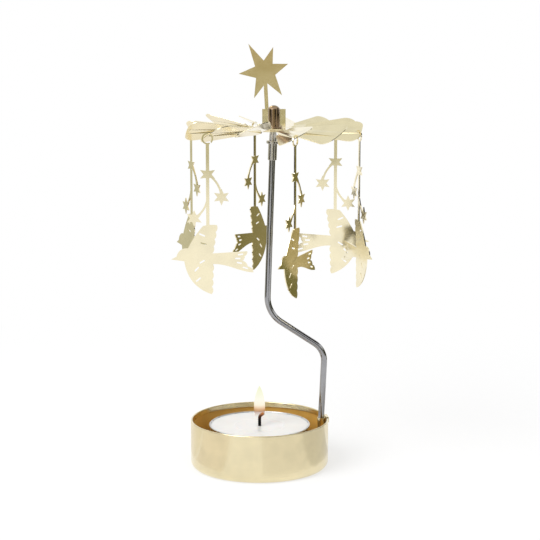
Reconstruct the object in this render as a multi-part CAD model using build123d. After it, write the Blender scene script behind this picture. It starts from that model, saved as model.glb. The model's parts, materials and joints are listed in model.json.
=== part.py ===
from build123d import *
import os
from math import asin, atan2, cos, degrees, radians, sin, sqrt, tan

# Rotary candle carousel. A tealight in a sheet cup warms the air, the air turns a
# pitched fan that sits on a needle, and the fan carries six flat birds round a mast.
# Millimetres. Origin at the centre of the cup's underside, Z up, the star faces -Y.

# Tealight
candle_diameter = 38.0
candle_height = 15.9
candle_foil = 0.25
candle_corner = 1.6
candle_lip = 0.3
wax_below_lip = 0.35
wax_dish = 0.5
wick_diameter = 1.3
wick_above_wax = 3.2
wick_curl = 2.0
wick_curl_angle = 50.0
sustainer_diameter = 12.0
sustainer_sheet = 0.3
sustainer_collar_height = 4.0
sustainer_collar_wall = 0.4

# Cup, drawn from sheet with its rim folded in as a flat hem
finger_room = 7.15
cup_height = 18.3
cup_sheet = 0.35
cup_corner = 2.2
hem_height = 2.0

# Socket clip that hooks over the rim and holds the rod's foot
socket_sheet = 0.25
socket_length = 11.0
socket_below_rim = 0.4
socket_hook_width = 4.0
socket_lip = 2.0

# Mast, one bent steel rod
rod_diameter = 2.4
rod_bearing = 7.0
leg_spread = 1.2
lower_bend_height = 44.7
lower_bend_radius = 8.4
bend_rise = 15.0
upper_bend_radius = 11.7
mast_offset = 5.5
mast_lean = 1.9

# Pivot on top of the mast
ferrule_diameter = 3.4
ferrule_length = 6.2
flange_diameter = 4.9
flange_thickness = 1.0
flange_below_fan = 4.2
needle_diameter = 2.9
needle_taper = 10.5
needle_point = 0.1
needle_tail_diameter = 1.6

# Fan, cut from sheet with its blades twisted at the neck, each plain one bent a little further by hand
fan_diameter = 67.0
fan_sheet = 0.3
fan_bearing = 13.1
disc_diameter = 20.0
hanger_count = 6
blade_pitch = 27.0
plain_blade_bend = (0, 2, 0, 4, 6, -3)
plain_blade_lift = (0, 0, 0, 3, 0, 6.7)
blade_gap_angle = 3.5
blade_corner = 3.4
neck_width = 3.4
neck_flat = 0.6
neck_twist = 1.8
shoulder_round = 0.9

# Hub cap, a turned thimble with a brim, its drilled end resting on the needle
hub_diameter = 4.5
hub_height = 9.0
hub_dome = 1.3
hub_edge_round = 0.4
hub_bore = 3.5
hub_roof = 1.0
drill_angle = 118.0
brim_diameter = 6.2
brim_height = 0.5
collar_diameter = 4.2
crimp_diameter = 5.4
crimp_height = 0.45

# Star over the fan, on a plate behind the hub that is folded under the hub's brim
finial_sheet = 0.4
plate_width = 8.8
plate_rise = 7.5
leaf_reach = 4.4
leaf_corner = 2.0
finial_stem_width = 1.4
finial_stem_foot = -2.6
star_shift = -3.4
star_rise = 21.5
star_reach = 12.0
star_valley = 4.1
star_points = ((18, 0.765), (71, 0.8), (121, 1.0), (185, 0.82), (248, 0.9), (306, 0.915))

# Hangers: eye, stem, three small stars and a bird in one cut sheet
hanger_sheet = 0.4
eye_bore = 3.1
eye_band = 0.55
eye_slit = 0.45
eye_slit_angle = -55.0
stem_width = 1.2
twig_width = 0.75
twig_leaves = 8.6
small_star_points = 6
small_star_reach = 3.1
small_star_valley = 1.5
star_spread = 5.0
first_star_drop = 12.9
second_star_drop = 21.2
third_star_drop = 29.0
body_drop = 44.2
bird_length = 30.1
wing_span = 25.6
feather_count = 4
feather_bulge = 0.2
wing_slot_length = 2.3
wing_slot_width = 0.6
tail_slot_length = 2.0
tail_slot_width = 0.6
hanger_yaw = 45.0
loose_turn = (5.0, -10.0, 0.0, 0.0, 0.0, 0.0)
bird_over_bend = 11.45

# Hanging hole on a blade's low side, with the web that the eye hangs on
hang_across = 1.1
hang_hole = 1.6
hang_web = 1.15
eye_overhang = 0.75
eye_below_web = 0.98

# Fits
slip_gap = 0.05
bond_gap = 0.02
point_gap = 0.04
finial_gap = 0.15

# Values that follow from the sizes above
candle_radius = candle_diameter / 2
wax_radius = candle_radius - candle_foil - bond_gap
wax_top = cup_sheet + candle_height - wax_below_lip
candle_floor = cup_sheet + candle_foil
cup_radius = candle_radius + finger_room + cup_sheet
hem_radius = cup_radius - 2 * cup_sheet
hem_flat = sqrt(hem_radius**2 - (socket_hook_width / 2) ** 2)
rod_radius = rod_diameter / 2
socket_bore = rod_radius + slip_gap
clip_face = hem_flat - slip_gap
rod_reach = clip_face - 1.5 * socket_sheet - socket_bore
rod_foot = (rod_reach * cos(radians(rod_bearing)), rod_reach * sin(radians(rod_bearing)))
foot_on_corner = max(rod_reach + rod_radius + cup_corner - cup_radius, 0)
foot_height = cup_corner - sqrt((cup_corner - cup_sheet) ** 2 - foot_on_corner**2) + slip_gap
upper_bend_height = lower_bend_height + bend_rise
eye_height = upper_bend_height + bird_over_bend + wing_span / 2 + body_drop
fan_height = eye_height + eye_below_web + hang_across * sin(radians(blade_pitch))
fan_top = fan_height + fan_sheet / 2
fan_bottom = fan_height - fan_sheet / 2
fan_radius = fan_diameter / 2
blade_count = 2 * hanger_count
blade_half_angle = 180 / blade_count - blade_gap_angle / 2
flange_top = fan_height - flange_below_fan
flange_bottom = flange_top - flange_thickness
hub_top = fan_top + hub_height
seat_height = hub_top - hub_roof
needle_tip = seat_height - needle_point / tan(radians(drill_angle / 2)) - point_gap
eye_radius = fan_radius - eye_overhang * sin(radians(hanger_yaw))
blade_lead = degrees(asin(hang_across * cos(radians(blade_pitch)) / eye_radius))


def polar(reach, bearing):
    """Point at a reach and a bearing, in degrees from the X axis."""
    return (reach * cos(radians(bearing)), reach * sin(radians(bearing)))


def turned(edges):
    """Solid turned about Z from a closed half section given as reach and height."""
    return revolve(Plane.XZ * make_face(edges), axis=Axis.Z)


def sheet(face, thickness):
    """Sheet cut to a face, with the face on its mid-plane."""
    return Pos(0, 0, -thickness / 2) * extrude(face, thickness)


def on_mast(shape):
    """Shape drawn about Z, moved onto the mast's axis, which leans about the needle's tip."""
    return Pos(mast_offset, 0, needle_tip) * Rot(0, mast_lean, 0) * Pos(0, 0, -needle_tip) * shape


def mast_point(height):
    """Point on the mast's leaning axis, at a height along that axis."""
    below = needle_tip - height
    lean = radians(mast_lean)
    return (mast_offset - below * sin(lean), 0, needle_tip - below * cos(lean))


def candle_cup():
    """Round cup with a drawn corner and a rim folded in flat against the wall."""
    wall = cup_radius - cup_sheet
    corner = (cup_radius - cup_corner, cup_corner)
    fold = cup_height - cup_sheet
    hem_end = cup_height - hem_height
    return turned([
        Line((0, 0), (corner[0], 0)),
        CenterArc(corner, cup_corner, -90, 90),
        Line((cup_radius, cup_corner), (cup_radius, fold)),
        CenterArc((wall, fold), cup_sheet, 0, 180),
        Polyline((hem_radius, fold), (hem_radius, hem_end), (wall, hem_end), (wall, cup_corner)),
        CenterArc(corner, cup_corner - cup_sheet, 0, -90),
        Polyline((corner[0], cup_sheet), (0, cup_sheet), (0, 0)),
    ])


def rod_socket():
    """Strip bent over the rim, with a barrel rolled from it round the rod's foot."""
    strip_in = clip_face - socket_sheet / 2
    strip_out = cup_radius + slip_gap + socket_sheet / 2
    strip_top = cup_height + slip_gap + socket_sheet / 2
    bottom = cup_height - socket_below_rim - socket_length
    bend = FilletPolyline(
        (strip_in, bottom), (strip_in, strip_top), (strip_out, strip_top),
        (strip_out, cup_height - socket_lip), radius=socket_sheet,
    )
    strip = Plane.XZ * sheet(trace(bend, socket_sheet), socket_hook_width)
    barrel = Pos(rod_reach, 0, bottom) * extrude(Circle(socket_bore + socket_sheet), socket_length)
    bore = Pos(rod_reach, 0, bottom) * extrude(Circle(socket_bore), cup_height)
    return Rot(0, 0, rod_bearing) * (strip + barrel - bore)


def mast_rod():
    """Round rod that stands in the socket, cranks inward and rises to the pivot."""
    leg_top = polar(rod_reach + leg_spread, rod_bearing)
    route = FilletPolyline(
        (*rod_foot, foot_height),
        (*rod_foot, cup_height),
        (*leg_top, lower_bend_height),
        mast_point(upper_bend_height),
        mast_point(flange_bottom),
        radius=(lower_bend_radius, lower_bend_radius, upper_bend_radius),
    )
    return sweep(Pos(*rod_foot, foot_height) * Circle(rod_radius), path=route)


def pivot_ferrule():
    """Flanged sleeve on the mast's top end, drilled for the needle's tail."""
    bore = rod_radius + bond_gap
    tail = needle_tail_diameter / 2 + bond_gap
    skirt = ferrule_diameter / 2
    foot = flange_bottom - ferrule_length
    return on_mast(turned(Polyline(
        (bore, foot), (skirt, foot), (skirt, flange_bottom),
        (flange_diameter / 2, flange_bottom), (flange_diameter / 2, flange_top),
        (tail, flange_top), (tail, flange_bottom), (bore, flange_bottom), close=True,
    )))


def pivot_needle():
    """Pointed pin that stands on the ferrule's flange and carries the hub."""
    shank = needle_diameter / 2
    tail = needle_tail_diameter / 2
    taper_start = needle_tip - needle_taper
    tail_end = flange_bottom + bond_gap
    return on_mast(turned(Polyline(
        (0, tail_end), (tail, tail_end), (tail, flange_top), (shank, flange_top),
        (shank, taper_start), (needle_point, needle_tip), (0, needle_tip), close=True,
    )))


def hub_cap():
    """Domed thimble crimped through the fan's disc, its drill point resting on the needle."""
    bore = hub_bore / 2
    wall = hub_diameter / 2
    brim = brim_diameter / 2
    collar = collar_diameter / 2
    crimp = crimp_diameter / 2
    crimp_top = fan_bottom - bond_gap
    crimp_foot = crimp_top - crimp_height
    brim_foot = fan_top + finial_sheet + 2 * bond_gap
    brim_top = brim_foot + brim_height
    shoulder = hub_top - hub_dome
    drill_start = seat_height - bore / tan(radians(drill_angle / 2))
    cap = turned([
        Polyline(
            (bore, crimp_foot), (crimp, crimp_foot), (crimp, crimp_top), (collar, crimp_top),
            (collar, brim_foot), (brim, brim_foot), (brim, brim_top), (wall, brim_top), (wall, shoulder),
        ),
        TangentArc((0, hub_top), (wall, shoulder), tangent=(1, 0)),
        Polyline((0, hub_top), (0, seat_height), (bore, drill_start), (bore, crimp_foot)),
    ])
    rim = cap.edges().filter_by_position(Axis.Z, shoulder, shoulder)
    return Pos(mast_offset, 0, 0) * fillet(rim, hub_edge_round)


def blade_face(with_hole):
    """Flat outline of one blade along X, from its neck to the fan's rim."""
    root = disc_diameter / 2 + neck_flat + neck_twist
    half = neck_width / 2
    shoulder = root + neck_flat
    side = tan(radians(blade_half_angle))
    tip = polar(fan_radius, blade_half_angle)
    face = make_face([
        Polyline((shoulder, -side * shoulder), (tip[0], -tip[1])),
        ThreePointArc((tip[0], -tip[1]), (fan_radius, 0), tip),
        Polyline(tip, (shoulder, side * shoulder), (shoulder, -side * shoulder)),
    ])
    by_reach = face.vertices().sort_by(Axis.X)
    face = fillet(by_reach[-2:], blade_corner)
    face = fillet(face.vertices().sort_by(Axis.X)[:2], shoulder_round)
    face += Pos((root + shoulder) / 2 + half / 2, 0) * Rectangle(shoulder - root + half, neck_width)
    if with_hole:
        along = hang_web - eye_overhang + hang_hole / 2
        eye = Vector(*polar(eye_radius, -blade_lead))
        hole = eye + Vector(*polar(along, hanger_yaw + 90 - blade_lead))
        face -= Pos(hole.X, hole.Y / cos(radians(blade_pitch))) * Circle(hang_hole / 2)
    return face


def rotor_fan():
    """Disc with pitched blades, each on a neck that is twisted and bent out of the disc's plane."""
    neck_start = disc_diameter / 2 + neck_flat
    neck_end = neck_start + neck_twist
    section = Plane.YZ * Rectangle(neck_width, fan_sheet)
    tab = Pos(neck_start / 2, 0) * Rectangle(neck_start, neck_width)
    plan = Circle(disc_diameter / 2)
    blades = []
    for number in range(blade_count):
        with_hole = number % 2 == 0
        bend = 0 if with_hole else plain_blade_bend[number // 2]
        lift = 0 if with_hole else plain_blade_lift[number // 2]
        turn = Rot(0, 0, 360 / blade_count * number)
        twist = Rot(blade_pitch + bend, 0, 0)
        raise_tip = Pos(neck_start, 0, 0) * Rot(0, -lift, 0) * Pos(-neck_start, 0, 0)
        neck = loft([Pos(neck_start, 0, 0) * section, raise_tip * Pos(neck_end, 0, 0) * twist * section])
        blades += [turn * neck, turn * raise_tip * twist * sheet(blade_face(with_hole), fan_sheet)]
        plan += turn * tab
    plan -= Circle(collar_diameter / 2 + slip_gap)
    fan = sheet(plan, fan_sheet).fuse(*blades)
    return Pos(mast_offset, 0, fan_height) * Rot(0, 0, fan_bearing - 90 + blade_lead) * fan


def star_face(points, valley):
    """Star from the bearing and reach of its points, with a valley between each two."""
    outline = []
    for (bearing, reach), (following, _) in zip(points, points[1:] + points[:1]):
        outline.append(polar(reach, bearing))
        outline.append(polar(valley, bearing + (following - bearing) % 360 / 2))
    return make_face(Polyline(*outline, close=True))


def star_finial():
    """Star on a leaning stem over a plate, which folds forward at its foot round the hub."""
    leaf_mid = fan_sheet / 2 + bond_gap + finial_sheet / 2
    plate_mid = brim_diameter / 2 + finial_gap + finial_sheet / 2
    bend = FilletPolyline(
        (-leaf_reach, leaf_mid), (plate_mid, leaf_mid), (plate_mid, plate_rise), radius=finial_sheet,
    )
    base = Plane.YZ * sheet(trace(bend, finial_sheet), plate_width)
    base = fillet(base.edges().filter_by(Axis.Z).sort_by(Axis.Y)[:2], leaf_corner)
    base -= Pos(0, 0, leaf_mid) * Cylinder(collar_diameter / 2 + slip_gap, 2 * finial_sheet)
    points = tuple((bearing, star_reach * share) for bearing, share in star_points)
    stem_foot = (finial_stem_foot, plate_rise - finial_stem_width)
    stem = trace(Line(stem_foot, (star_shift, star_rise)), finial_stem_width)
    star = Pos(star_shift, star_rise) * star_face(points, star_valley)
    top = Plane.XZ * sheet(stem + star, finial_sheet)
    return Pos(mast_offset, 0, fan_height) * (base + Pos(0, plate_mid, 0) * top)


def scallops(start, end, count):
    """Row of rounded feather ends, each an arc that stands out to the right of the row."""
    first, last = Vector(*start), Vector(*end)
    step = (last - first) / count
    bulge = Vector(step.Y, -step.X) * feather_bulge
    return [
        ThreePointArc(first + step * n, first + step * (n + 0.5) + bulge, first + step * (n + 1))
        for n in range(count)
    ]


def bird_point(along, across):
    """Point on the bird as shares of its length and its span, from its shoulder."""
    return (bird_length * along, wing_span * across)


def bird_face():
    """Bird in flight seen from above, beak towards -X, with slots for its feathers."""
    beak = bird_point(-0.41, 0.0)
    brow = bird_point(-0.345, 0.04)
    nape = bird_point(-0.205, 0.16)
    wrist = bird_point(-0.02, 0.485)
    upper_tip = bird_point(0.145, 0.5)
    upper_root = bird_point(0.09, 0.09)
    tail_top = bird_point(0.515, 0.125)
    tail_notch = bird_point(0.45, -0.015)
    tail_low = bird_point(0.59, -0.18)
    lower_root = bird_point(0.095, -0.065)
    lower_tip = bird_point(0.08, -0.5)
    chin = bird_point(-0.25, -0.025)
    upper_ends = scallops(tail_notch, tail_top, feather_count // 2)
    lower_ends = scallops(tail_low, tail_notch, feather_count // 2)
    face = make_face([
        Line(beak, brow),
        Spline(brow, bird_point(-0.3, 0.13), nape),
        Spline(nape, bird_point(-0.13, 0.315), wrist),
        Spline(wrist, bird_point(0.06, 0.5), upper_tip),
        *scallops(upper_root, upper_tip, feather_count),
        Line(upper_root, tail_top),
        *upper_ends,
        *lower_ends,
        Spline(tail_low, bird_point(0.4, -0.135), bird_point(0.26, -0.085), lower_root),
        *scallops(lower_tip, lower_root, feather_count),
        Spline(lower_tip, bird_point(-0.13, -0.345), chin),
        Line(chin, beak),
    ])
    wing_slot = SlotOverall(wing_slot_length, wing_slot_width)
    for along, across, slant in (
        (-0.03, 0.355, -22), (-0.015, 0.23, -15),
        (-0.03, -0.03, 31), (-0.1, -0.14, 47), (-0.08, -0.29, 41),
    ):
        face -= Pos(*bird_point(along, across)) * Rot(0, 0, slant) * wing_slot
    tail_root = Vector(*bird_point(0.1, 0.015))
    for end in upper_ends + lower_ends:
        quill = (end @ 0 + end @ 1) / 2 - tail_root
        centre = tail_root + quill * (1 - tail_slot_length / quill.length)
        slant = degrees(atan2(quill.Y, quill.X))
        slot = SlotOverall(tail_slot_length, tail_slot_width)
        face -= Pos(centre.X, centre.Y) * Rot(0, 0, slant) * slot
    return face


def chain_face():
    """Eye, stem and three small stars on their twigs, the eye's centre at the origin."""
    outer = eye_bore / 2 + eye_band
    stem_end = body_drop - wing_span * 0.47
    step = 360 / small_star_points
    points = tuple((90 + step * n, small_star_reach) for n in range(small_star_points))
    small_star = star_face(points, small_star_valley)
    first = (0, -first_star_drop)
    second = (star_spread, -second_star_drop)
    third = (-star_spread, -third_star_drop)
    fork = (0, twig_leaves - third_star_drop)
    face = Circle(outer)
    face += Pos(0, -stem_end / 2) * Rectangle(stem_width, stem_end)
    face += trace(TangentArc(first, second, tangent=(1, -0.6)), twig_width)
    face += trace(TangentArc(fork, third, tangent=(0, -1)), twig_width)
    for place in (first, second, third):
        face += Pos(*place) * small_star
    face -= Circle(eye_bore / 2)
    slit = Pos(eye_bore / 2 + eye_band / 2, 0) * Rectangle(2 * eye_band, eye_slit)
    return face - Rot(0, 0, eye_slit_angle) * slit


def hanger_face():
    """Whole cut sheet, with the bird shifted so that it hangs level from the eye."""
    bird = bird_face()
    chain = chain_face()
    moment = bird.area * bird.center().X + chain.area * chain.center().X
    return chain + Pos(-moment / bird.area, -body_drop) * bird


def bird_hanger(number, plate):
    """One hanger in its blade's hole, beak outward and forward of the fan's turn."""
    bearing = fan_bearing - 90 + 360 / hanger_count * number
    facing = bearing + hanger_yaw + loose_turn[number]
    eye = (mast_offset + polar(eye_radius, bearing)[0], polar(eye_radius, bearing)[1], eye_height)
    across = Vector(*polar(1, facing + 90), 0)
    return Plane(origin=eye, x_dir=across, z_dir=Vector(*polar(1, facing), 0)) * plate


def tealight_cup():
    """Thin foil cup with a beaded lip, standing on the candle cup's floor."""
    lip_height = cup_sheet + candle_height
    corner = (candle_radius - candle_corner, cup_sheet + candle_corner)
    wall = candle_radius - candle_foil
    shell = turned([
        Line((0, cup_sheet), (corner[0], cup_sheet)),
        CenterArc(corner, candle_corner, -90, 90),
        Polyline((candle_radius, corner[1]), (candle_radius, lip_height),
                 (wall, lip_height), (wall, corner[1])),
        CenterArc(corner, candle_corner - candle_foil, 0, -90),
        Polyline((corner[0], candle_floor), (0, candle_floor), (0, cup_sheet)),
    ])
    bead = Pos(candle_radius - candle_foil / 2 + candle_lip, lip_height - candle_lip) * Circle(candle_lip)
    return shell + revolve(Plane.XZ * bead, axis=Axis.Z)


def wick_sustainer():
    """Round tin plate with a collar that grips the wick's foot."""
    bore = wick_diameter / 2 + bond_gap
    collar = bore + sustainer_collar_wall
    plate_top = candle_floor + sustainer_sheet
    collar_top = candle_floor + sustainer_collar_height
    return turned(Polyline(
        (bore, candle_floor), (sustainer_diameter / 2, candle_floor),
        (sustainer_diameter / 2, plate_top), (collar, plate_top),
        (collar, collar_top), (bore, collar_top), close=True,
    ))


def tealight_wax():
    """Wax cast round the sustainer, its top dished towards the wick."""
    corner = candle_corner - candle_foil
    round_centre = (wax_radius - corner, candle_floor + bond_gap + corner)
    plate = sustainer_diameter / 2 + bond_gap
    plate_top = candle_floor + sustainer_sheet + bond_gap
    collar = wick_diameter / 2 + sustainer_collar_wall + 2 * bond_gap
    collar_top = candle_floor + sustainer_collar_height + bond_gap
    hole = wick_diameter / 2 + bond_gap
    low = candle_floor + bond_gap
    return turned([
        Line((plate, low), (round_centre[0], low)),
        CenterArc(round_centre, corner, -90, 90),
        Line((wax_radius, round_centre[1]), (wax_radius, wax_top)),
        TangentArc((hole, wax_top - wax_dish), (wax_radius, wax_top), tangent=(1, 0)),
        Polyline((hole, wax_top - wax_dish), (hole, collar_top), (collar, collar_top),
                 (collar, plate_top), (plate, plate_top), (plate, low)),
    ])


def tealight_wick():
    """Round wick that stands out of the wax and curls over at its burnt end."""
    knee = wax_top + wick_above_wax
    curl = radians(wick_curl_angle)
    route = FilletPolyline(
        (0, 0, candle_floor), (0, 0, knee),
        (wick_curl * sin(curl), 0, knee + wick_curl * cos(curl)), radius=wick_diameter,
    )
    return sweep(Pos(0, 0, candle_floor) * Circle(wick_diameter / 2), path=route)


pieces = {
    "candle_cup": candle_cup(),
    "rod_socket": rod_socket(),
    "mast_rod": mast_rod(),
    "pivot_ferrule": pivot_ferrule(),
    "pivot_needle": pivot_needle(),
    "rotor_fan": rotor_fan(),
    "hub_cap": hub_cap(),
    "star_finial": star_finial(),
    "tealight_cup": tealight_cup(),
    "tealight_wax": tealight_wax(),
    "tealight_wick": tealight_wick(),
    "wick_sustainer": wick_sustainer(),
}
hanger_plate = sheet(hanger_face(), hanger_sheet)
for hanger in range(hanger_count):
    pieces[f"bird_hanger_{hanger + 1}"] = bird_hanger(hanger, hanger_plate)

os.makedirs("parts", exist_ok=True)
for name, piece in pieces.items():
    export_step(piece, f"parts/{name}.step")
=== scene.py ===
import json
import math
from functools import partial
from typing import NamedTuple

import bmesh
import bpy
from bpy.props import FloatProperty, FloatVectorProperty, IntProperty, PointerProperty
from bpy.types import Operator, Panel, PropertyGroup
from mathutils import Matrix, Vector


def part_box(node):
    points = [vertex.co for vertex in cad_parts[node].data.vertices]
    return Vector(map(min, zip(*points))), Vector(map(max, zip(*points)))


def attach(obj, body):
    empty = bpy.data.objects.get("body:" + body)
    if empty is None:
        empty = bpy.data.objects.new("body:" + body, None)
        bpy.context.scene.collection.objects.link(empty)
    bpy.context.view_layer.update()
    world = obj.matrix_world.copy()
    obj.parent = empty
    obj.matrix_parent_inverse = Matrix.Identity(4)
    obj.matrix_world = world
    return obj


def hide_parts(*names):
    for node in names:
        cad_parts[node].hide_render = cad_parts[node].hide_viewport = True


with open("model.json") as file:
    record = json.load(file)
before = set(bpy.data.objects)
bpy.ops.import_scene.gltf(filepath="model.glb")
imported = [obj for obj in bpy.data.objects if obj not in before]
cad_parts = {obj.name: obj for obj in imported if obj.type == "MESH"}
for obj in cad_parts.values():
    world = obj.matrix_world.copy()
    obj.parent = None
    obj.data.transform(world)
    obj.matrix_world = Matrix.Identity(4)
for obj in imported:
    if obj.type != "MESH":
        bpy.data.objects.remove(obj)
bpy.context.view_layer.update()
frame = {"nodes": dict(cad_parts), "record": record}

bl_info = {
    "name": "Rotary Candle Carousel",
    "version": (1, 0, 0),
    "blender": (4, 5, 0),
    "location": "View3D > Sidebar > Carousel",
    "description": "Dresses and lights a gold tealight carousel with six hanging birds",
    "category": "Add Mesh",
}

# One millimetre in the scene's metres, the body that each imported hanger rides on, and the hangers' names.
MM = 0.001
BODY_OF = {
    name: body
    for body, names in frame["record"]["behaviour"]["bodies"].items()
    for name in names
}
HANGERS = sorted(name for name in frame["nodes"] if name.startswith("bird_hanger"))

# Places that the pieces share, read from the frame.
CUP_LOW, CUP_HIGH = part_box("candle_cup")
ROD_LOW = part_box("mast_rod")[0]
HUB_LOW, HUB_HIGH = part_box("hub_cap")
NEEDLE_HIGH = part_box("pivot_needle")[1]
FOIL_LOW, FOIL_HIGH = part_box("tealight_cup")
WAX_LOW, WAX_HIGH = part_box("tealight_wax")
WICK_LOW, WICK_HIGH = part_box("tealight_wick")
HUB_AXIS = ((HUB_LOW.x + HUB_HIGH.x) / 2, (HUB_LOW.y + HUB_HIGH.y) / 2)
NEEDLE_TIP = Vector((*HUB_AXIS, NEEDLE_HIGH.z))

# Steps of each kind of round in a section or an outline, and the sides of the flame.
EDGE_STEPS = 4
SHOULDER_STEPS = 6
RIM_STEPS = 8
CORNER_STEPS = 10
FOLD_STEPS = 12
CARD_STEPS = 12
DOME_STEPS = 14
DISH_STEPS = 24
FLAME_STEPS = 40
HOLE_STEPS = 48
FLAME_SIDES = 48

# Distances in metres below which two points become one, in a mesh made here and in a packed one, and below which
# a point is on the axis.
MERGE = 1e-7
PACKED_MERGE = 1e-6
ON_AXIS = 1e-9

# Angles in degrees past which faces meet in a crease: on most pieces, between the wick's strands, on the flame.
CREASE = 32
STRAND_CREASE = 80
NO_CREASE = 180


def linear(code):
    """Linear colour of an sRGB hex value such as #F6E7BE."""
    shares = [int(code[at:at + 2], 16) / 255 for at in (1, 3, 5)]
    return tuple(s / 12.92 if s <= 0.04045 else ((s + 0.055) / 1.055) ** 2.4 for s in shares)


def amount(name, description, default, scale=1.0, **settings):
    """Property for a number or a row of numbers, whose default is given in units of the scale."""
    if isinstance(default, tuple):
        return FloatVectorProperty(name=name, description=description, default=[each * scale for each in default],
                                   size=len(default), **settings)
    return FloatProperty(name=name, description=description, default=default * scale, **settings)


def length(name, description, default, **settings):
    """Property for a length or a place, whose default is given in millimetres."""
    return amount(name, description, default, MM, unit="LENGTH", precision=5, **settings)


def angle(name, description, default):
    """Property for an angle or a row of angles, whose default is given in degrees."""
    return amount(name, description, default, math.radians(1), unit="ROTATION")


def colour(name, description, default):
    """Colour property whose default is an sRGB hex value."""
    return FloatVectorProperty(name=name, description=description, default=linear(default),
                               subtype="COLOR", size=3, min=0.0, max=1.0)


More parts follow.
